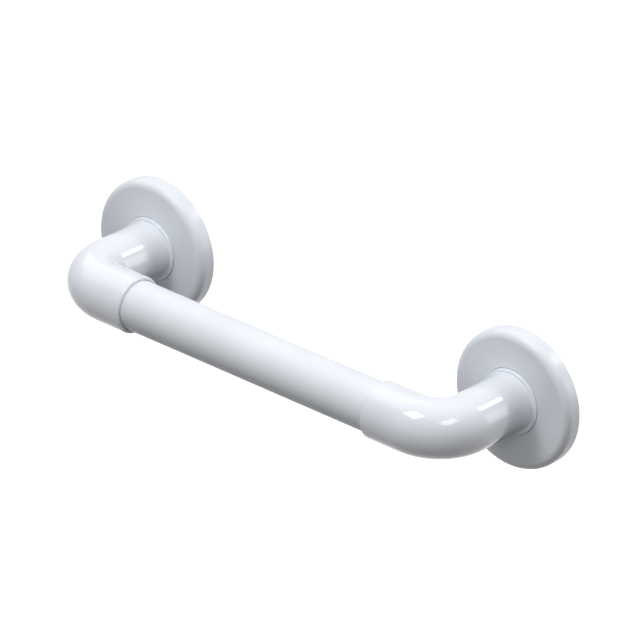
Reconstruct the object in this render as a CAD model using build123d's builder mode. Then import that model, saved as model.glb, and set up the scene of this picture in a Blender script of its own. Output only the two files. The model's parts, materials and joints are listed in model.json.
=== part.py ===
from build123d import *
from math import isclose, radians, tan
import os

# A short wall grab bar: a coated tube between two moulded elbows, each with a wall plate
# under a push-fit round cover. Millimetres. X runs along the bar, +Y into the wall, Z up.
# The origin is on the wall, midway between the two fixings.

# Layout
centre_distance = 300.0
bar_projection = 74.8

# Tube: aluminium with a thin white coat, counted in both sizes
tube_diameter = 32.8
tube_wall = 2.4
tube_end_chamfer = 0.6

# Elbow moulding: socket, bend and neck, all of one outside diameter
socket_clearance = 0.1
socket_wall = 2.35
socket_depth = 25.0
socket_lead_in = 0.6
lip_land = 1.0
bend_radius = 25.0
neck_wall = 5.0

# Elbow moulding: collar and wall plate
collar_width = 2.55
collar_height = 1.5
collar_rounding = 1.1
collar_root_rounding = 1.5
neck_root_rounding = 0.5
plate_cover_clearance = 1.0
plate_thickness = 6.0
plate_catch_step = 2.0
plate_catch_height = 2.8
plate_edge_chamfer = 0.6

# Coring on the back of the wall plate
core_depth = 3.2
core_rim = 3.0
core_hub = 3.0
core_corner_radius = 1.0
rib_width = 2.4
rib_count = 6

# Wall screw holes in the plate
wall_hole_count = 3
wall_hole_diameter = 6.5
wall_hole_inset = 8.0
wall_boss_wall = 3.0

# Cover
cover_diameter = 90.8
cover_depth = 11.5
cover_wall = 2.4
cover_rim_radius = 5.0
cover_collar_gap = 0.15
cover_hole_rounding = 0.4
catch_count = 3
catch_width = 15.0
catch_overlap = 1.1
catch_clearance = 0.3
catch_lead_in = 0.7

# Countersunk screws that hold the tube in its sockets
screw_diameter = 3.4
screw_head_diameter = 6.8
screw_head_angle = 90.0
screw_head_sink = 0.45
screw_length = 9.5
screw_point_length = 2.2
screw_point_diameter = 0.6
screw_seat_clearance = 0.05
screw_hole_clearance = 0.2
screw_thread_clearance = 0.05
recess_width = 0.9
recess_span = 3.6
recess_depth = 1.2

# Places worked out from the dimensions above
fixing_x = centre_distance / 2
tube_end_x = fixing_x - bend_radius
lip_x = tube_end_x - socket_depth
screw_x = tube_end_x - socket_depth / 2
tube_radius = tube_diameter / 2
socket_radius = tube_radius + socket_clearance
elbow_radius = socket_radius + socket_wall
lip_rounding = socket_wall - lip_land
bore_radius = elbow_radius - neck_wall
collar_radius = elbow_radius + collar_width
collar_top = cover_depth + collar_height
cover_radius = cover_diameter / 2
cover_hole_radius = collar_radius + cover_collar_gap
cover_inner_radius = cover_radius - cover_wall
cover_inside = cover_depth - cover_wall
plate_radius = cover_inner_radius - plate_cover_clearance
plate_back_radius = plate_radius - plate_catch_step
wall_hole_radius = wall_hole_diameter / 2
wall_hole_reach = plate_back_radius - wall_hole_inset
catch_tip_radius = plate_radius - catch_overlap
screw_head_y = elbow_radius - screw_head_sink - bar_projection
screw_head_radius = screw_head_diameter / 2
screw_radius = screw_diameter / 2
screw_head_height = (screw_head_radius - screw_radius) / tan(radians(screw_head_angle / 2))
screw_hole_radius = screw_radius + screw_hole_clearance

# Working planes at the right fixing: one lies on the wall and faces the room, the other cuts
# through the neck and the tube, with its Y running from the wall into the room
right_wall = Plane(origin=(fixing_x, 0, 0), x_dir=(1, 0, 0), z_dir=(0, -1, 0))
right_section = Plane(origin=(fixing_x, 0, 0), x_dir=(1, 0, 0), z_dir=(0, 0, -1))
neck_axis = Axis((fixing_x, 0, 0), (0, -1, 0))
right_screw = Plane(origin=(screw_x, screw_head_y, 0), x_dir=(1, 0, 0), z_dir=(0, 1, 0))
left_screw = Plane(origin=(-screw_x, screw_head_y, 0), x_dir=(1, 0, 0), z_dir=(0, 1, 0))


# Tube, cut square and chamfered at both ends, drilled for a screw near each end
with BuildPart() as grab_tube:
    with BuildSketch(Plane(origin=(0, -bar_projection, 0), z_dir=(1, 0, 0))) as tube_section:
        Circle(tube_radius)
        Circle(tube_radius - tube_wall, mode=Mode.SUBTRACT)
    extrude(amount=tube_end_x, both=True)
    chamfer(grab_tube.edges().filter_by(GeomType.CIRCLE).group_by(SortBy.RADIUS)[-1], tube_end_chamfer)
    with Locations(right_screw, left_screw):
        CounterSinkHole(
            screw_radius + screw_thread_clearance,
            screw_head_radius + screw_seat_clearance,
            depth=tube_radius,
            counter_sink_angle=screw_head_angle,
        )


# Right elbow, one moulding from the wall plate to the socket's lip
with BuildPart() as right_elbow:
    # Wall plate and collar, turned about the neck. The step behind the plate's edge is what
    # the cover catches on.
    with BuildSketch(right_section) as foot_profile:
        with BuildLine():
            Polyline(
                (0, 0),
                (plate_back_radius, 0),
                (plate_back_radius, plate_catch_height),
                (plate_radius, plate_catch_height),
                (plate_radius, plate_thickness),
                (collar_radius, plate_thickness),
                (collar_radius, collar_top),
                (0, collar_top),
                close=True,
            )
        make_face()
        collar_corners = foot_profile.vertices().filter_by_position(Axis.X, collar_radius, collar_radius)
        fillet(collar_corners.sort_by(Axis.Y)[-1], collar_rounding)
        collar_corners = foot_profile.vertices().filter_by_position(Axis.X, collar_radius, collar_radius)
        fillet(collar_corners.sort_by(Axis.Y)[0], collar_root_rounding)
    revolve(axis=neck_axis)
    plate_edges = right_elbow.edges().filter_by(GeomType.CIRCLE).group_by(SortBy.RADIUS)[-1]
    chamfer(plate_edges.sort_by(Axis.Y)[0], plate_edge_chamfer)

    # Neck, bend and socket, swept along one centre line, with the neck's root eased into the collar
    with BuildLine(right_section) as centre_line:
        neck_run = Line((0, 0), (0, bar_projection - bend_radius))
        bend = JernArc(neck_run @ 1, neck_run % 1, bend_radius, 90)
        Line(bend @ 1, (lip_x - fixing_x, bar_projection))
    with BuildSketch(right_wall) as elbow_section:
        Circle(elbow_radius)
    sweep(path=centre_line.wire())
    collar_rings = right_elbow.edges().filter_by(GeomType.CIRCLE)
    collar_rings = collar_rings.filter_by_position(Axis.Y, -collar_top, -collar_top)
    fillet(collar_rings.sort_by(SortBy.RADIUS)[0], neck_root_rounding)
    fillet(right_elbow.edges().filter_by(GeomType.CIRCLE).sort_by(Axis.X)[0], lip_rounding)

    # Hollow of the neck and bend, left by a curved core, then the wider socket for the tube, with a
    # lead-in at its mouth
    with BuildSketch(right_wall) as bore_section:
        Circle(bore_radius)
    sweep(path=centre_line.wire(), mode=Mode.SUBTRACT)
    with BuildSketch(Plane(origin=(lip_x, -bar_projection, 0), z_dir=(1, 0, 0))) as socket_section:
        Circle(socket_radius)
    extrude(amount=socket_depth, mode=Mode.SUBTRACT)
    mouth_edges = right_elbow.edges().filter_by(GeomType.CIRCLE).group_by(Axis.X)[0]
    chamfer(mouth_edges.sort_by(SortBy.RADIUS)[0], socket_lead_in)

    # Coring on the back of the plate, which leaves a rim, a hub, ribs and screw bosses
    with BuildSketch(right_wall) as coring:
        Circle(plate_back_radius - core_rim)
        Circle(elbow_radius + core_hub, mode=Mode.SUBTRACT)
        with PolarLocations(plate_radius / 2, rib_count):
            Rectangle(plate_radius, rib_width, mode=Mode.SUBTRACT)
        with PolarLocations(wall_hole_reach, wall_hole_count):
            Circle(wall_hole_radius + wall_boss_wall, mode=Mode.SUBTRACT)
        fillet(coring.vertices(), core_corner_radius)
    extrude(amount=core_depth, mode=Mode.SUBTRACT)
    with BuildSketch(right_wall) as wall_holes:
        with PolarLocations(wall_hole_reach, wall_hole_count):
            Circle(wall_hole_radius)
    extrude(amount=plate_thickness, mode=Mode.SUBTRACT)

    # Countersunk hole for the tube's screw, on the side that faces the wall
    with Locations(right_screw):
        CounterSinkHole(
            screw_hole_radius,
            screw_head_radius + screw_seat_clearance,
            depth=elbow_radius - socket_radius,
            counter_sink_angle=screw_head_angle,
        )


# Right cover, a thin shell with a large rounded rim, open around the collar
with BuildPart() as right_cover:
    with BuildSketch(right_section) as cover_profile:
        with BuildLine():
            Polyline(
                (cover_hole_radius, cover_depth),
                (cover_radius, cover_depth),
                (cover_radius, 0),
                (cover_inner_radius, 0),
                (cover_inner_radius, cover_inside),
                (cover_hole_radius, cover_inside),
                close=True,
            )
        make_face()
        inside_corners = cover_profile.vertices().filter_by_position(Axis.Y, cover_inside, cover_inside)
        fillet(inside_corners.sort_by(Axis.X)[-1], cover_rim_radius - cover_wall)
        front_corners = cover_profile.vertices().group_by(Axis.Y)[-1]
        fillet(front_corners.sort_by(Axis.X)[-1], cover_rim_radius)
        front_corners = cover_profile.vertices().group_by(Axis.Y)[-1]
        fillet(front_corners.sort_by(Axis.X)[0], cover_hole_rounding)
    revolve(axis=neck_axis)

    # Catches on the inside of the rim, which snap behind the wall plate's edge
    with BuildSketch(right_wall.offset(catch_clearance)) as catches:
        with PolarLocations(cover_inner_radius, catch_count, start_angle=180 / catch_count):
            Rectangle(cover_wall + 2 * (cover_inner_radius - catch_tip_radius), catch_width)
        Circle(catch_tip_radius, mode=Mode.SUBTRACT)
        Circle(cover_inner_radius + cover_wall / 2, mode=Mode.INTERSECT)
    extrude(amount=plate_catch_height - 2 * catch_clearance)
    round_edges = right_cover.edges().filter_by(GeomType.CIRCLE)
    tip_edges = round_edges.filter_by(lambda edge: isclose(edge.radius, catch_tip_radius))
    chamfer(tip_edges.group_by(Axis.Y)[-1], catch_lead_in)


# Both elbows are the same moulding, and both covers too: the left ones are turned half round
with BuildPart() as left_elbow:
    add(right_elbow.part, rotation=(0, 180, 0))

with BuildPart() as left_cover:
    add(right_cover.part, rotation=(0, 180, 0))


# Screws: a countersunk head with a cross recess, a shank and a point
with BuildPart() as tube_screws:
    with BuildSketch(Plane(origin=right_screw.origin, z_dir=(0, 0, 1))) as screw_profile:
        with BuildLine():
            Polyline(
                (0, 0),
                (screw_head_radius, 0),
                (screw_radius, -screw_head_height),
                (screw_radius, screw_point_length - screw_length),
                (screw_point_diameter / 2, -screw_length),
                (0, -screw_length),
                close=True,
            )
        make_face()
    revolve(axis=Axis(right_screw.origin, (0, 1, 0)))
    with BuildSketch(right_screw) as recess:
        Rectangle(recess_width, recess_span)
        Rectangle(recess_span, recess_width)
    extrude(amount=-recess_depth, mode=Mode.SUBTRACT)
    mirror(about=Plane.YZ)


os.makedirs("parts", exist_ok=True)
grab_tube.part.label = "grab_tube"
left_elbow.part.label = "left_elbow"
right_elbow.part.label = "right_elbow"
left_cover.part.label = "left_cover"
right_cover.part.label = "right_cover"
tube_screws.part.label = "tube_screws"
export_step(grab_tube.part, "parts/grab_tube.step")
export_step(left_elbow.part, "parts/left_elbow.step")
export_step(right_elbow.part, "parts/right_elbow.step")
export_step(left_cover.part, "parts/left_cover.step")
export_step(right_cover.part, "parts/right_cover.step")
export_step(tube_screws.part, "parts/tube_screws.step")
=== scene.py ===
import json
from math import atan2, cos, degrees, hypot, pi, radians, sin

import bmesh
import bpy
from mathutils import Matrix, Vector


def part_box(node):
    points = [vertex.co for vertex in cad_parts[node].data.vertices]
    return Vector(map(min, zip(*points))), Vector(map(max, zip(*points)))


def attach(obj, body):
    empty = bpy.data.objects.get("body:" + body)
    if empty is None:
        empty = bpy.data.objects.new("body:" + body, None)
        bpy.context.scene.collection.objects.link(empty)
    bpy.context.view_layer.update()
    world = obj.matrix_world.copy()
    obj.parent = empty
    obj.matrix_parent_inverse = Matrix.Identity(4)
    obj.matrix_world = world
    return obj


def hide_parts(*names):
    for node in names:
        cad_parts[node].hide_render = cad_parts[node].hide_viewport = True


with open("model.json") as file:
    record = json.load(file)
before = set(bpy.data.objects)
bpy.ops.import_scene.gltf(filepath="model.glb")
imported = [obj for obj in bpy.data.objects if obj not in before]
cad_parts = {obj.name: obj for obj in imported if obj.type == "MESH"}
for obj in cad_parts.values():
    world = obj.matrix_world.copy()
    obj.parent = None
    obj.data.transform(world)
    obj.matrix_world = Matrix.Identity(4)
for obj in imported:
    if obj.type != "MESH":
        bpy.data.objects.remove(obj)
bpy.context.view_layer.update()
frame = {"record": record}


# Tube
# A length of drawn aluminium tube, sawn square, its ends eased, drilled for a screw near each end
# and powder coated white outside. It is pushed into a socket in each elbow, up to the socket's stop.
mm = 0.001
tube_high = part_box("grab_tube")[1]
tube_radius = 16.4 * mm
tube_wall = 2.4 * mm
tube_y = -74.8 * mm
tube_end_x = tube_high.x
tube_bore_radius = tube_radius - tube_wall
tube_end_chamfer = 0.6 * mm
round_steps = 144
seam_gap = 0.005 * mm
sharp_edge_angle = radians(35)
screw_low, screw_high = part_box("tube_screws")
screw_head_radius = 3.4 * mm
screw_x = screw_high.x - screw_head_radius
screw_head_y = screw_high.y
screw_radius = 1.7 * mm
screw_thread_clearance = 0.05 * mm
screw_hole_steps = 48


def lathe(name, outline, centre, axis):
    """Draws an outline point by point and spins it once round an axis, as a turned part is made."""
    bpy.ops.object.select_all(action="DESELECT")
    bpy.ops.mesh.primitive_plane_add(enter_editmode=True)
    bpy.context.object.name = name
    bpy.ops.mesh.merge(type="CENTER")
    bpy.ops.transform.translate(value=outline[0])
    for start, end in zip(outline, outline[1:]):
        bpy.ops.mesh.extrude_vertices_move(TRANSFORM_OT_translate={"value": end - start})
    bpy.ops.mesh.select_all(action="SELECT")
    bpy.ops.mesh.spin(steps=round_steps, angle=2 * pi, center=centre, axis=axis)
    close_seams()
    bpy.ops.object.mode_set(mode="OBJECT")
    return bpy.context.object


def close_seams():
    """Merges the points that meet at a seam or on an axis, and turns every face outwards."""
    bpy.ops.mesh.select_all(action="SELECT")
    bpy.ops.mesh.remove_doubles(threshold=seam_gap)
    bpy.ops.mesh.normals_make_consistent(inside=False)


def cut(piece, cutter):
    """Takes a cutter's shape out of a piece, as a drill or a mould core does, and deletes the cutter."""
    bpy.context.view_layer.objects.active = piece
    bpy.ops.object.modifier_add(type="BOOLEAN")
    piece.modifiers[-1].object = cutter
    piece.modifiers[-1].solver = "EXACT"
    bpy.ops.object.modifier_apply(modifier=piece.modifiers[-1].name)
    bpy.data.objects.remove(cutter)


def smooth(piece):
    """Shades a piece smooth up to its sharp edges, with flat faces kept flat beside small roundings."""
    bpy.ops.object.select_all(action="DESELECT")
    bpy.context.view_layer.objects.active = piece
    piece.select_set(True)
    bpy.ops.object.mode_set(mode="EDIT")
    close_seams()
    bpy.ops.object.mode_set(mode="OBJECT")
    bpy.ops.object.shade_smooth_by_angle(angle=sharp_edge_angle)
    bpy.ops.object.modifier_add(type="WEIGHTED_NORMAL")
    piece.modifiers[-1].keep_sharp = True
    bpy.ops.object.modifier_apply(modifier=piece.modifiers[-1].name)


tube_outline = [
    (-tube_end_x, tube_bore_radius),
    (-tube_end_x, tube_radius - tube_end_chamfer),
    (-tube_end_x + tube_end_chamfer, tube_radius),
    (tube_end_x - tube_end_chamfer, tube_radius),
    (tube_end_x, tube_radius - tube_end_chamfer),
    (tube_end_x, tube_bore_radius),
    (-tube_end_x, tube_bore_radius),
]
tube_points = [Vector((x, tube_y, radius)) for x, radius in tube_outline]
tube = lathe("tube", tube_points, (0, tube_y, 0), (1, 0, 0))
for x in (-screw_x, screw_x):
    bpy.ops.mesh.primitive_cylinder_add(
        vertices=screw_hole_steps,
        radius=screw_radius + screw_thread_clearance,
        depth=tube_radius,
        location=(x, tube_y + tube_radius, 0),
        rotation=(radians(90), 0, 0),
    )
    cut(tube, bpy.context.object)
smooth(tube)


def linear(hex_colour):
    """Turns an sRGB hex colour such as #E6EAF1 into the linear colour that a shader takes."""
    parts = [int(hex_colour[place : place + 2], 16) / 255 for place in (1, 3, 5)]
    return [part / 12.92 if part <= 0.04045 else ((part + 0.055) / 1.055) ** 2.4 for part in parts] + [1]


def add_node(tree, kind, settings=None, **inputs):
    """Adds a node, sets its properties, and sets or links its inputs, named with _ for each space."""
    node = tree.nodes.new(kind)
    for name, value in (settings or {}).items():
        setattr(node, name, value)
    for name, value in inputs.items():
        socket = node.inputs[name.replace("_", " ")]
        if isinstance(value, bpy.types.NodeSocket):
            tree.links.new(value, socket)
        else:
            socket.default_value = value
    return node


# Polyester powder coat, melted on in an oven: an even cool white with a soft gloss and a faint
# orange peel, whose waves are about 2 mm long. Slow drifts of tone and gloss keep it from looking flat.
powder_coat = bpy.data.materials.new("white_powder_coat")
powder_coat.use_nodes = True
nodes = powder_coat.node_tree
shader = nodes.nodes["Principled BSDF"]
shader.inputs["Specular IOR Level"].default_value = 0.25
place = add_node(nodes, "ShaderNodeTexCoord").outputs["Object"]
drift = add_node(nodes, "ShaderNodeTexNoise", Vector=place, Scale=1 / (45 * mm), Detail=2.0)
tone = add_node(nodes, "ShaderNodeValToRGB", Fac=drift.outputs["Fac"])
tone.color_ramp.elements[0].position = 0.3
tone.color_ramp.elements[0].color = linear("#E2E6EC")
tone.color_ramp.elements[1].position = 0.7
tone.color_ramp.elements[1].color = linear("#E7EBF1")
nodes.links.new(tone.outputs["Color"], shader.inputs["Base Color"])
cloud = add_node(nodes, "ShaderNodeTexNoise", Vector=place, Scale=1 / (12 * mm), Detail=3.0)
gloss = add_node(nodes, "ShaderNodeMapRange", Value=cloud.outputs["Fac"], To_Min=0.4, To_Max=0.48)
nodes.links.new(gloss.outputs["Result"], shader.inputs["Roughness"])
peel = add_node(nodes, "ShaderNodeTexNoise", Vector=place, Scale=1 / (2 * mm), Detail=1.0)
bump = add_node(nodes, "ShaderNodeBump", Height=peel.outputs["Fac"], Strength=0.05, Distance=0.05 * mm)
nodes.links.new(bump.outputs["Normal"], shader.inputs["Normal"])

# Bare aluminium where the saw and the drawing die left it: the tube's inside and its cut ends. Fine
# lines from drawing run along it. They are a tenth of a millimetre apart, and drawn at 0.4 mm.
bare_aluminium = bpy.data.materials.new("bare_drawn_aluminium")
bare_aluminium.use_nodes = True
nodes = bare_aluminium.node_tree
shader = nodes.nodes["Principled BSDF"]
shader.inputs["Metallic"].default_value = 1.0
place = add_node(nodes, "ShaderNodeTexCoord").outputs["Object"]
along = add_node(nodes, "ShaderNodeMapping", Vector=place, Scale=(0.02, 1.0, 1.0))
grain = along.outputs["Vector"]
lines = add_node(nodes, "ShaderNodeTexNoise", Vector=grain, Scale=1 / (0.4 * mm), Detail=2.0)
tone = add_node(nodes, "ShaderNodeValToRGB", Fac=lines.outputs["Fac"])
tone.color_ramp.elements[0].color = linear("#B4B6B9")
tone.color_ramp.elements[1].color = linear("#D6D8DA")
nodes.links.new(tone.outputs["Color"], shader.inputs["Base Color"])
gloss = add_node(nodes, "ShaderNodeMapRange", Value=lines.outputs["Fac"], To_Min=0.3, To_Max=0.45)
nodes.links.new(gloss.outputs["Result"], shader.inputs["Roughness"])

tube.data.materials.append(powder_coat)
tube.data.materials.append(bare_aluminium)
coat_floor = tube_radius - tube_end_chamfer
for face in tube.data.polygons:
    if hypot(face.center.y - tube_y, face.center.z) < coat_floor:
        face.material_index = 1
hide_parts("grab_tube")
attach(tube, "root")


# Elbows
# Each end is one moulding in white nylon, from a curved core: a socket for the tube, a quarter bend, a
# neck with a collar, and a round wall plate, cored at the back, with three holes for the wall's screws.
elbow_low, elbow_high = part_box("right_elbow")
mounts = {mount["name"]: mount for mount in frame["record"]["mounts"]}
fixing_x = mounts["right_wall_face"]["pos_m"][0]
lip_x = elbow_low.x
elbow_radius = tube_y - elbow_low.y
bend_radius = fixing_x - tube_end_x
bend_steps = 40
neck_length = -tube_y - bend_radius
socket_clearance = 0.1 * mm
socket_radius = tube_radius + socket_clearance
socket_lead_in = 0.6 * mm
lip_rounding = 1.35 * mm
neck_wall = 5 * mm
bore_radius = elbow_radius - neck_wall
collar_width = 2.55 * mm
collar_radius = elbow_radius + collar_width
collar_top = 13.0 * mm
collar_rounding = 1.1 * mm
neck_root_rounding = 0.5 * mm
plate_radius = elbow_high.x - fixing_x
plate_catch_step = 2 * mm
plate_back_radius = plate_radius - plate_catch_step
plate_catch_height = 2.8 * mm
plate_thickness = 6 * mm
plate_edge_chamfer = 0.6 * mm
plate_root_rounding = 1.5 * mm
hair = 0.01 * mm


def arc(centre, radius, start, end, steps=8):
    """Points along an arc in the plane of an outline, from one angle to another in degrees."""
    angles = [radians(start + (end - start) * step / steps) for step in range(steps + 1)]
    return [(centre[0] + radius * cos(angle), centre[1] + radius * sin(angle)) for angle in angles]


def beside_neck(outline):
    """Places an outline, given as reach from the neck's axis and height off the wall, at the right."""
    return [Vector((fixing_x + reach, -height, 0)) for reach, height in outline]


def select_ring(test):
    """Selects the points of the piece being edited that pass a test, and the edges between them."""
    mesh = bmesh.from_edit_mesh(bpy.context.object.data)
    for vertex in mesh.verts:
        vertex.select_set(test(vertex.co))
    mesh.select_mode = {"VERT"}
    mesh.select_flush_mode()
    bmesh.update_edit_mesh(bpy.context.object.data)


def carry_ring(travel, growth, centre):
    """Extrudes the selected ring by a travel and resizes it about its new centre."""
    bpy.ops.mesh.extrude_edges_move(TRANSFORM_OT_translate={"value": travel})
    bpy.ops.transform.resize(value=(growth, growth, growth), center_override=centre)


# The plate, collar and neck are turned, and the neck's end is carried on round the bend to the lip, then
# back inside through the socket and the bore.
plate_root_centre = (collar_radius + plate_root_rounding, plate_thickness + plate_root_rounding)
collar_edge_centre = (collar_radius - collar_rounding, collar_top - collar_rounding)
neck_root_centre = (elbow_radius + neck_root_rounding, collar_top + neck_root_rounding)
foot_outline = [
    (bore_radius, 0),
    (plate_back_radius, 0),
    (plate_back_radius, plate_catch_height),
    (plate_radius, plate_catch_height),
    (plate_radius, plate_thickness - plate_edge_chamfer),
    (plate_radius - plate_edge_chamfer, plate_thickness),
    *arc(plate_root_centre, plate_root_rounding, 270, 180),
    *arc(collar_edge_centre, collar_rounding, 0, 90),
    *arc(neck_root_centre, neck_root_rounding, 270, 180),
    (elbow_radius, neck_length),
]
right_elbow = lathe("right_elbow_moulding", beside_neck(foot_outline), (fixing_x, 0, 0), (0, 1, 0))
bend_centre = (tube_end_x, -neck_length, 0)
bpy.ops.object.mode_set(mode="EDIT")
select_ring(lambda point: point.y < -neck_length + hair)
bpy.ops.mesh.spin(steps=bend_steps, angle=radians(90), center=bend_centre, axis=(0, 0, 1))
lip_start = lip_x + lip_rounding
carry_ring((lip_start - tube_end_x, 0, 0), 1, (lip_start, tube_y, 0))
ring_x, ring_radius = lip_start, elbow_radius
for x, radius in arc((lip_start, elbow_radius - lip_rounding), lip_rounding, 90, 180)[1:]:
    carry_ring((x - ring_x, 0, 0), radius / ring_radius, (x, tube_y, 0))
    ring_x, ring_radius = x, radius
mouth_radius = socket_radius + socket_lead_in
mouth_floor_x = lip_x + socket_lead_in
carry_ring((0, 0, 0), mouth_radius / ring_radius, (lip_x, tube_y, 0))
carry_ring((socket_lead_in, 0, 0), socket_radius / mouth_radius, (mouth_floor_x, tube_y, 0))
carry_ring((tube_end_x - mouth_floor_x, 0, 0), 1, (tube_end_x, tube_y, 0))
carry_ring((0, 0, 0), bore_radius / socket_radius, (tube_end_x, tube_y, 0))
bpy.ops.mesh.spin(steps=bend_steps, angle=radians(90), center=bend_centre, axis=(0, 0, -1))
carry_ring((0, neck_length, 0), 1, (fixing_x, 0, 0))
close_seams()
bpy.ops.object.mode_set(mode="OBJECT")

# Coring on the back of the plate leaves a rim, a hub, six ribs and a boss round each wall hole. Its
# posts stand half in front of the wall and half behind, so only half of each goes into the plate.
core_depth = 3.2 * mm
core_post_depth = 2 * core_depth
core_cutter_depth = 4 * core_depth
core_rim_width = 3 * mm
core_outer_radius = plate_back_radius - core_rim_width
core_hub_wall = 3 * mm
core_hub_radius = elbow_radius + core_hub_wall
core_corner_radius = 1 * mm
core_corner_angle = radians(30)
rib_width = 2.4 * mm
rib_length = 2 * plate_radius
rib_angles = [0, 60, 120]
wall_hole_radius = mounts["wall_screws_outer"]["dims"]["hole_r_mm"] * mm
wall_hole_reach = mounts["wall_screws_outer"]["dims"]["spacing_x_mm"] * mm / 2 - fixing_x
wall_hole_depth = 4 * plate_thickness
wall_hole_angles = [0, 120, 240]
wall_boss_wall = 3 * mm
wall_boss_radius = wall_hole_radius + wall_boss_wall
half_round_step = pi / round_steps


def add_post(radius, depth, reach, angle):
    """Adds a round post across the wall, its corners half a step off those of the turned plate."""
    bpy.ops.mesh.primitive_cylinder_add(
        vertices=round_steps,
        radius=radius,
        depth=depth,
        location=(fixing_x + reach * cos(radians(angle)), 0, reach * sin(radians(angle))),
        rotation=(radians(90), half_round_step, 0),
    )
    return bpy.context.object


coring = add_post(core_outer_radius, core_post_depth, 0, 0)
cut(coring, add_post(core_hub_radius, core_cutter_depth, 0, 0))
for angle in rib_angles:
    bpy.ops.mesh.primitive_cube_add(size=1, location=(fixing_x, 0, 0), rotation=(0, radians(-angle), 0))
    bpy.context.object.scale = (rib_length, core_cutter_depth, rib_width)
    cut(coring, bpy.context.object)
for angle in wall_hole_angles:
    cut(coring, add_post(wall_boss_radius, core_cutter_depth, wall_hole_reach, angle))
bpy.ops.object.select_all(action="DESELECT")
bpy.context.view_layer.objects.active = coring
coring.select_set(True)
bpy.ops.object.transform_apply(location=True, rotation=True, scale=True)
bpy.ops.object.mode_set(mode="EDIT")
bpy.ops.mesh.select_all(action="DESELECT")
mesh = bmesh.from_edit_mesh(coring.data)
for edge in mesh.edges:
    across = abs(edge.verts[0].co.y - edge.verts[1].co.y) > core_depth
    edge.select_set(across and edge.calc_face_angle(0) > core_corner_angle)
bmesh.update_edit_mesh(coring.data)
bpy.ops.mesh.bevel(offset=core_corner_radius, segments=4, affect="EDGES")
bpy.ops.object.mode_set(mode="OBJECT")
wall_holes = [
    add_post(wall_hole_radius, wall_hole_depth, wall_hole_reach, angle) for angle in wall_hole_angles
]

# A countersunk hole for the tube's screw is on the side of the socket that faces the wall. All these
# hollows are joined and come out in one cut.
screw_seat_clearance = 0.05 * mm
screw_hole_clearance = 0.2 * mm
screw_hole_radius = screw_radius + screw_hole_clearance
seat_radius = screw_head_radius + screw_seat_clearance
seat_cutter_top = 2 * mm
seat_cutter_overrun = 1 * mm
seat_cutter_foot = socket_radius - elbow_radius - seat_cutter_overrun
seat_outline = [
    (0, seat_cutter_top),
    (seat_radius, seat_cutter_top),
    (seat_radius, 0),
    (screw_hole_radius, screw_hole_radius - seat_radius),
    (screw_hole_radius, seat_cutter_foot),
    (0, seat_cutter_foot),
]
seat_top = Vector((screw_x, screw_head_y, 0))
seat_side = Vector((cos(half_round_step), 0, sin(half_round_step)))
seat_points = [seat_top + seat_side * reach + Vector((0, height, 0)) for reach, height in seat_outline]
seat = lathe("screw_seat", seat_points, seat_top, (0, 1, 0))
bpy.ops.object.select_all(action="DESELECT")
for hollow in (*wall_holes, seat, coring):
    hollow.select_set(True)
bpy.context.view_layer.objects.active = coring
bpy.ops.object.join()
cut(right_elbow, coring)
smooth(right_elbow)

# Nylon, moulded in a polished tool: a cool white with a clear gloss and sharp reflections. It shrinks a
# little unevenly as it cools, so its sheen wavers slowly, over about 20 mm.
moulded_nylon = bpy.data.materials.new("white_moulded_nylon")
moulded_nylon.use_nodes = True
nodes = moulded_nylon.node_tree
shader = nodes.nodes["Principled BSDF"]
place = add_node(nodes, "ShaderNodeTexCoord").outputs["Object"]
drift = add_node(nodes, "ShaderNodeTexNoise", Vector=place, Scale=1 / (30 * mm), Detail=2.0)
tone = add_node(nodes, "ShaderNodeValToRGB", Fac=drift.outputs["Fac"])
tone.color_ramp.elements[0].position = 0.3
tone.color_ramp.elements[0].color = linear("#E2E6ED")
tone.color_ramp.elements[1].position = 0.7
tone.color_ramp.elements[1].color = linear("#E6EAF1")
nodes.links.new(tone.outputs["Color"], shader.inputs["Base Color"])
cloud = add_node(nodes, "ShaderNodeTexNoise", Vector=place, Scale=1 / (20 * mm), Detail=2.0)
gloss = add_node(nodes, "ShaderNodeMapRange", Value=cloud.outputs["Fac"], To_Min=0.05, To_Max=0.08)
nodes.links.new(gloss.outputs["Result"], shader.inputs["Roughness"])
shrink = add_node(nodes, "ShaderNodeTexNoise", Vector=place, Scale=1 / (20 * mm), Detail=1.0)
bump = add_node(nodes, "ShaderNodeBump", Height=shrink.outputs["Fac"], Strength=0.05, Distance=0.2 * mm)
nodes.links.new(bump.outputs["Normal"], shader.inputs["Normal"])
right_elbow.data.materials.append(moulded_nylon)


def add_left_twin(piece, name):
    """Copies a right-hand piece with its own mesh and turns it half round, to the left end."""
    bpy.ops.object.select_all(action="DESELECT")
    bpy.context.view_layer.objects.active = piece
    piece.select_set(True)
    bpy.ops.object.duplicate()
    twin = bpy.context.object
    twin.name = name
    twin.rotation_euler = (0, pi, 0)
    bpy.ops.object.transform_apply(location=True, rotation=True, scale=True)
    return twin


left_elbow = add_left_twin(right_elbow, "left_elbow_moulding")
for elbow, node in ((right_elbow, "right_elbow"), (left_elbow, "left_elbow")):
    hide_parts(node)
    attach(elbow, "root")


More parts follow.
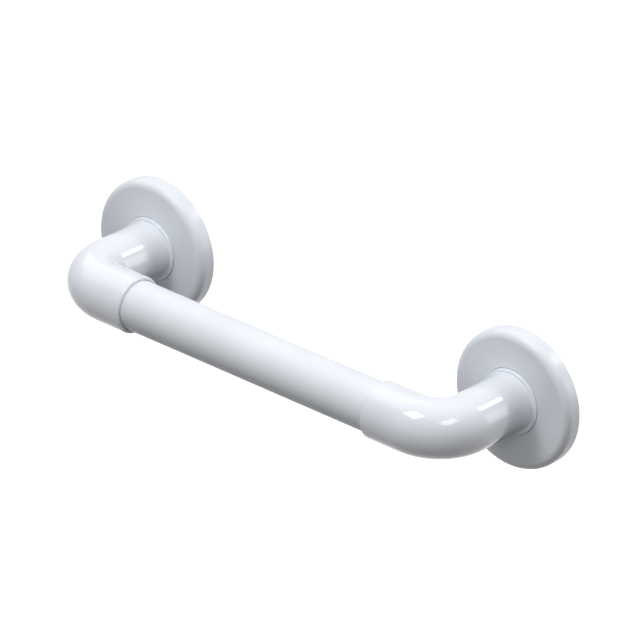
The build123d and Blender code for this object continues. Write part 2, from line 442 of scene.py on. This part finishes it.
# Tube screws
# Two self-tapping countersunk screws in zinc-plated steel, driven through the back of each socket into
# the tube, so that it can't turn or pull out. A cross recess takes the driver.
screw_tip_y = screw_low.y
screw_point_length = 2.2 * mm
screw_point_radius = 0.3 * mm
recess_width = 0.9 * mm
recess_span = 3.6 * mm
recess_depth = 1.2 * mm
head_edge = 0.15 * mm
screw_outline = [
    (0, screw_head_y),
    (screw_head_radius - head_edge, screw_head_y),
    (screw_head_radius, screw_head_y - head_edge),
    (screw_radius, screw_head_y - head_edge - screw_head_radius + screw_radius),
    (screw_radius, screw_tip_y + screw_point_length),
    (screw_point_radius, screw_tip_y),
    (0, screw_tip_y),
]
screw_points = [Vector((screw_x + reach, height, 0)) for reach, height in screw_outline]
right_screw = lathe("right_tube_screw", screw_points, (screw_x, 0, 0), (0, 1, 0))
for size in ((recess_width, recess_span), (recess_span, recess_width)):
    bpy.ops.mesh.primitive_cube_add(size=1, location=(screw_x, screw_head_y, 0))
    bpy.context.object.scale = (size[0], 2 * recess_depth, size[1])
    cut(right_screw, bpy.context.object)
smooth(right_screw)

# Bright zinc plate over steel: a pale bluish metal, rather soft in its shine, with fine mottling.
zinc_plate = bpy.data.materials.new("zinc_plated_steel")
zinc_plate.use_nodes = True
nodes = zinc_plate.node_tree
shader = nodes.nodes["Principled BSDF"]
shader.inputs["Metallic"].default_value = 1.0
place = add_node(nodes, "ShaderNodeTexCoord").outputs["Object"]
mottle = add_node(nodes, "ShaderNodeTexNoise", Vector=place, Scale=1 / (0.8 * mm), Detail=3.0)
tone = add_node(nodes, "ShaderNodeValToRGB", Fac=mottle.outputs["Fac"])
tone.color_ramp.elements[0].color = linear("#A9AEB4")
tone.color_ramp.elements[1].color = linear("#CDD1D6")
nodes.links.new(tone.outputs["Color"], shader.inputs["Base Color"])
gloss = add_node(nodes, "ShaderNodeMapRange", Value=mottle.outputs["Fac"], To_Min=0.25, To_Max=0.4)
nodes.links.new(gloss.outputs["Result"], shader.inputs["Roughness"])
right_screw.data.materials.append(zinc_plate)
left_screw = add_left_twin(right_screw, "left_tube_screw")
for screw in (right_screw, left_screw):
    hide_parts("tube_screws")
    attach(screw, "root")


# Covers
# A thin round shell moulded in white ABS hides each wall plate. It is pushed along the neck to the wall
# until three catches inside its rim click behind the plate's edge. A fine gap is left at the collar.
cover_low, cover_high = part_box("right_cover")
cover_radius = (cover_high.x - cover_low.x) / 2
cover_depth = -cover_low.y
cover_wall = 2.4 * mm
cover_rim_radius = 5.0 * mm
cover_inner_radius = cover_radius - cover_wall
cover_inside = cover_depth - cover_wall
inside_rounding = cover_rim_radius - cover_wall
cover_collar_gap = 0.15 * mm
cover_hole_radius = collar_radius + cover_collar_gap
cover_hole_rounding = 0.4 * mm
cover_foot_rounding = 0.3 * mm
catch_foot = 0.3 * mm
catch_top = 2.5 * mm
catch_overlap = 1.1 * mm
catch_tip_radius = plate_radius - catch_overlap
catch_reach = cover_inner_radius - catch_tip_radius
catch_lead_in = 0.7 * mm
catch_half_angle = 10
catch_angles = [60, 180, 300]
facet_slack = 0.2 * mm
foot_centre = (cover_radius - cover_foot_rounding, cover_foot_rounding)
rim_centre = (cover_radius - cover_rim_radius, cover_depth - cover_rim_radius)
hole_edge_centre = (cover_hole_radius + cover_hole_rounding, cover_depth - cover_hole_rounding)
cover_outline = [
    (cover_inner_radius, 0),
    *arc(foot_centre, cover_foot_rounding, 270, 360, 3),
    *arc(rim_centre, cover_rim_radius, 0, 90, 20),
    *arc(hole_edge_centre, cover_hole_rounding, 90, 180, 4),
    (cover_hole_radius, cover_inside),
    *arc(rim_centre, inside_rounding, 90, 0, 10),
    (cover_inner_radius, catch_top),
    (cover_inner_radius, catch_foot),
    (cover_inner_radius, 0),
]
right_cover = lathe("right_cover_shell", beside_neck(cover_outline), (fixing_x, 0, 0), (0, 1, 0))
bpy.ops.object.mode_set(mode="EDIT")
bpy.ops.mesh.select_all(action="DESELECT")
bpy.ops.mesh.select_mode(type="FACE")
mesh = bmesh.from_edit_mesh(right_cover.data)
for face in mesh.faces:
    middle = face.calc_center_median()
    angle = degrees(atan2(middle.z, middle.x - fixing_x)) % 360
    inside = hypot(middle.x - fixing_x, middle.z) < cover_inner_radius + facet_slack
    at_catch = any(abs(angle - catch) < catch_half_angle for catch in catch_angles)
    face.select_set(inside and at_catch and catch_foot < -middle.y < catch_top)
bmesh.update_edit_mesh(right_cover.data)
bpy.ops.mesh.extrude_region_shrink_fatten(TRANSFORM_OT_shrink_fatten={"value": catch_reach})
bpy.ops.mesh.select_mode(type="EDGE")
mesh = bmesh.from_edit_mesh(right_cover.data)
for edge in mesh.edges:
    reach = max(hypot(vertex.co.x - fixing_x, vertex.co.z) for vertex in edge.verts)
    at_foot = all(abs(vertex.co.y + catch_foot) < hair for vertex in edge.verts)
    edge.select_set(at_foot and reach < catch_tip_radius + facet_slack)
bmesh.update_edit_mesh(right_cover.data)
bpy.ops.mesh.bevel(offset=catch_lead_in, segments=1, affect="EDGES")
bpy.ops.object.mode_set(mode="OBJECT")
smooth(right_cover)

# ABS from a polished tool: the same cool white, a little softer in its gloss than the elbows.
moulded_abs = bpy.data.materials.new("white_moulded_abs")
moulded_abs.use_nodes = True
nodes = moulded_abs.node_tree
shader = nodes.nodes["Principled BSDF"]
shader.inputs["Specular IOR Level"].default_value = 0.4
place = add_node(nodes, "ShaderNodeTexCoord").outputs["Object"]
drift = add_node(nodes, "ShaderNodeTexNoise", Vector=place, Scale=1 / (35 * mm), Detail=2.0)
tone = add_node(nodes, "ShaderNodeValToRGB", Fac=drift.outputs["Fac"])
tone.color_ramp.elements[0].position = 0.3
tone.color_ramp.elements[0].color = linear("#E1E5EC")
tone.color_ramp.elements[1].position = 0.7
tone.color_ramp.elements[1].color = linear("#E5E9F0")
nodes.links.new(tone.outputs["Color"], shader.inputs["Base Color"])
cloud = add_node(nodes, "ShaderNodeTexNoise", Vector=place, Scale=1 / (25 * mm), Detail=2.0)
gloss = add_node(nodes, "ShaderNodeMapRange", Value=cloud.outputs["Fac"], To_Min=0.26, To_Max=0.34)
nodes.links.new(gloss.outputs["Result"], shader.inputs["Roughness"])
sink = add_node(nodes, "ShaderNodeTexNoise", Vector=place, Scale=1 / (25 * mm), Detail=1.0)
bump = add_node(nodes, "ShaderNodeBump", Height=sink.outputs["Fac"], Strength=0.05, Distance=0.2 * mm)
nodes.links.new(bump.outputs["Normal"], shader.inputs["Normal"])
right_cover.data.materials.append(moulded_abs)
left_cover = add_left_twin(right_cover, "left_cover_shell")
for cover, node in ((right_cover, "right_cover"), (left_cover, "left_cover")):
    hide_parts(node)
    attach(cover, "root")


# Floor
# A plain painted studio floor, so far below the bar that only a soft shadow falls on it. The camera,
# gloss and glass see it white. For light bounced on to the bar it is dim, as a floor so far away is.
floor_z = -1.2
floor_size = 60.0
floor_glow = 0.95
bpy.ops.object.select_all(action="DESELECT")
bpy.ops.mesh.primitive_plane_add(size=floor_size, location=(0, 0, floor_z))
floor = bpy.context.object
floor.name = "studio_floor"
floor_paint = bpy.data.materials.new("white_floor_paint")
floor_paint.use_nodes = True
nodes = floor_paint.node_tree
nodes.nodes.remove(nodes.nodes["Principled BSDF"])
path = add_node(nodes, "ShaderNodeLightPath")
seen = add_node(nodes, "ShaderNodeMath", {"operation": "MAXIMUM"})
nodes.links.new(path.outputs["Is Camera Ray"], seen.inputs[0])
nodes.links.new(path.outputs["Is Glossy Ray"], seen.inputs[1])
seen_through = add_node(nodes, "ShaderNodeMath", {"operation": "MAXIMUM"})
nodes.links.new(seen.outputs[0], seen_through.inputs[0])
nodes.links.new(path.outputs["Is Transmission Ray"], seen_through.inputs[1])
dim = add_node(nodes, "ShaderNodeBsdfDiffuse", Color=linear("#2C2C2C"))
white = add_node(nodes, "ShaderNodeBsdfDiffuse", Color=linear("#F4F4F4"))
glow = add_node(nodes, "ShaderNodeEmission", Strength=floor_glow)
lit = add_node(nodes, "ShaderNodeAddShader")
nodes.links.new(white.outputs["BSDF"], lit.inputs[0])
nodes.links.new(glow.outputs["Emission"], lit.inputs[1])
mix = add_node(nodes, "ShaderNodeMixShader", Fac=seen_through.outputs[0])
nodes.links.new(dim.outputs["BSDF"], mix.inputs[1])
nodes.links.new(lit.outputs["Shader"], mix.inputs[2])
nodes.links.new(mix.outputs["Shader"], nodes.nodes["Material Output"].inputs["Surface"])
floor.data.materials.append(floor_paint)


# Studio light
# Soft light from large boxes overhead, at the left, and low in front and behind. Three small boxes, at
# the front left, right and behind, draw the crisp highlights on the elbows. The dome all round is
# faint, but the camera, gloss and glass see it as a white backdrop.
world = bpy.data.worlds.new("studio_dome")
world.use_nodes = True
bpy.context.scene.world = world
dome = world.node_tree
dome_strength = 0.03
backdrop_strength = 0.97
backdrop = dome.nodes["Background"]
path = add_node(dome, "ShaderNodeLightPath")
seen = add_node(dome, "ShaderNodeMath", {"operation": "MAXIMUM"})
dome.links.new(path.outputs["Is Camera Ray"], seen.inputs[0])
dome.links.new(path.outputs["Is Glossy Ray"], seen.inputs[1])
seen_through = add_node(dome, "ShaderNodeMath", {"operation": "MAXIMUM"})
dome.links.new(seen.outputs[0], seen_through.inputs[0])
dome.links.new(path.outputs["Is Transmission Ray"], seen_through.inputs[1])
strength = add_node(dome, "ShaderNodeMapRange", To_Min=dome_strength, To_Max=backdrop_strength)
dome.links.new(seen_through.outputs[0], strength.inputs["Value"])
backdrop.inputs["Color"].default_value = (1, 1, 1, 1)
dome.links.new(strength.outputs["Result"], backdrop.inputs["Strength"])
softbox_distance = 2.2


def add_softbox(name, azimuth, elevation, lean, size, power):
    """Hangs a softbox that faces the bar, placed by angles round from the front and up."""
    around, above, tilt = radians(azimuth), radians(elevation), radians(lean)
    facing = Vector((sin(around) * cos(above), -cos(around) * cos(above), sin(above)))
    level = Vector((cos(around), sin(around), 0))
    rising = facing.cross(level)
    long_side = level * cos(tilt) + rising * sin(tilt)
    turn = Matrix((long_side, facing.cross(long_side), facing)).transposed()
    bpy.ops.object.light_add(type="AREA", location=facing * softbox_distance, rotation=turn.to_euler())
    lamp = bpy.context.object
    lamp.name = name
    lamp.data.shape = "RECTANGLE"
    lamp.data.size, lamp.data.size_y = size
    lamp.data.energy = power


# Each box has its azimuth, elevation and lean in degrees, its size in metres and its power in watts.
add_softbox("softbox_overhead", 0, 89, 0, (3.0, 3.0), 21.2)
add_softbox("softbox_left", 268, 42, 0, (2.4, 1.6), 14)
add_softbox("softbox_front_low", 16, 20, 0, (4.2, 2.4), 14)
add_softbox("softbox_back_low", 140, 12, 0, (1.5, 1.0), 11)
add_softbox("softbox_front_left", 346, 57, -14, (0.85, 0.8), 18)
add_softbox("softbox_right", 65, 46, 28, (0.95, 0.52), 9)
add_softbox("softbox_behind", 148, 42, -47, (0.6, 0.4), 9)


# Camera
# A long lens from the front right, a little above the bar, as the bar was pictured. It aims beside the
# bar's own origin and leans by a degree and a half.
view_azimuth = radians(41.044)
view_elevation = radians(26.756)
view_roll = radians(1.501)
view_distance = 3727.831 * mm
aim_right = -11.022 * mm
aim_up = -1.642 * mm
lens_length = 336.676
back = Vector((
    sin(view_azimuth) * cos(view_elevation),
    -cos(view_azimuth) * cos(view_elevation),
    sin(view_elevation),
))
level = Vector((0, 0, 1)).cross(back).normalized()
upright = back.cross(level)
right = level * cos(view_roll) + upright * sin(view_roll)
up = upright * cos(view_roll) - level * sin(view_roll)
aim = right * aim_right + up * aim_up
turn = Matrix((right, up, back)).transposed()
bpy.ops.object.camera_add(location=aim + back * view_distance, rotation=turn.to_euler())
camera = bpy.context.object
camera.data.lens = lens_length
camera.data.sensor_width = 36.0
camera.data.clip_end = 200.0
bpy.context.scene.camera = camera
bpy.context.scene.view_settings.view_transform = "Standard"
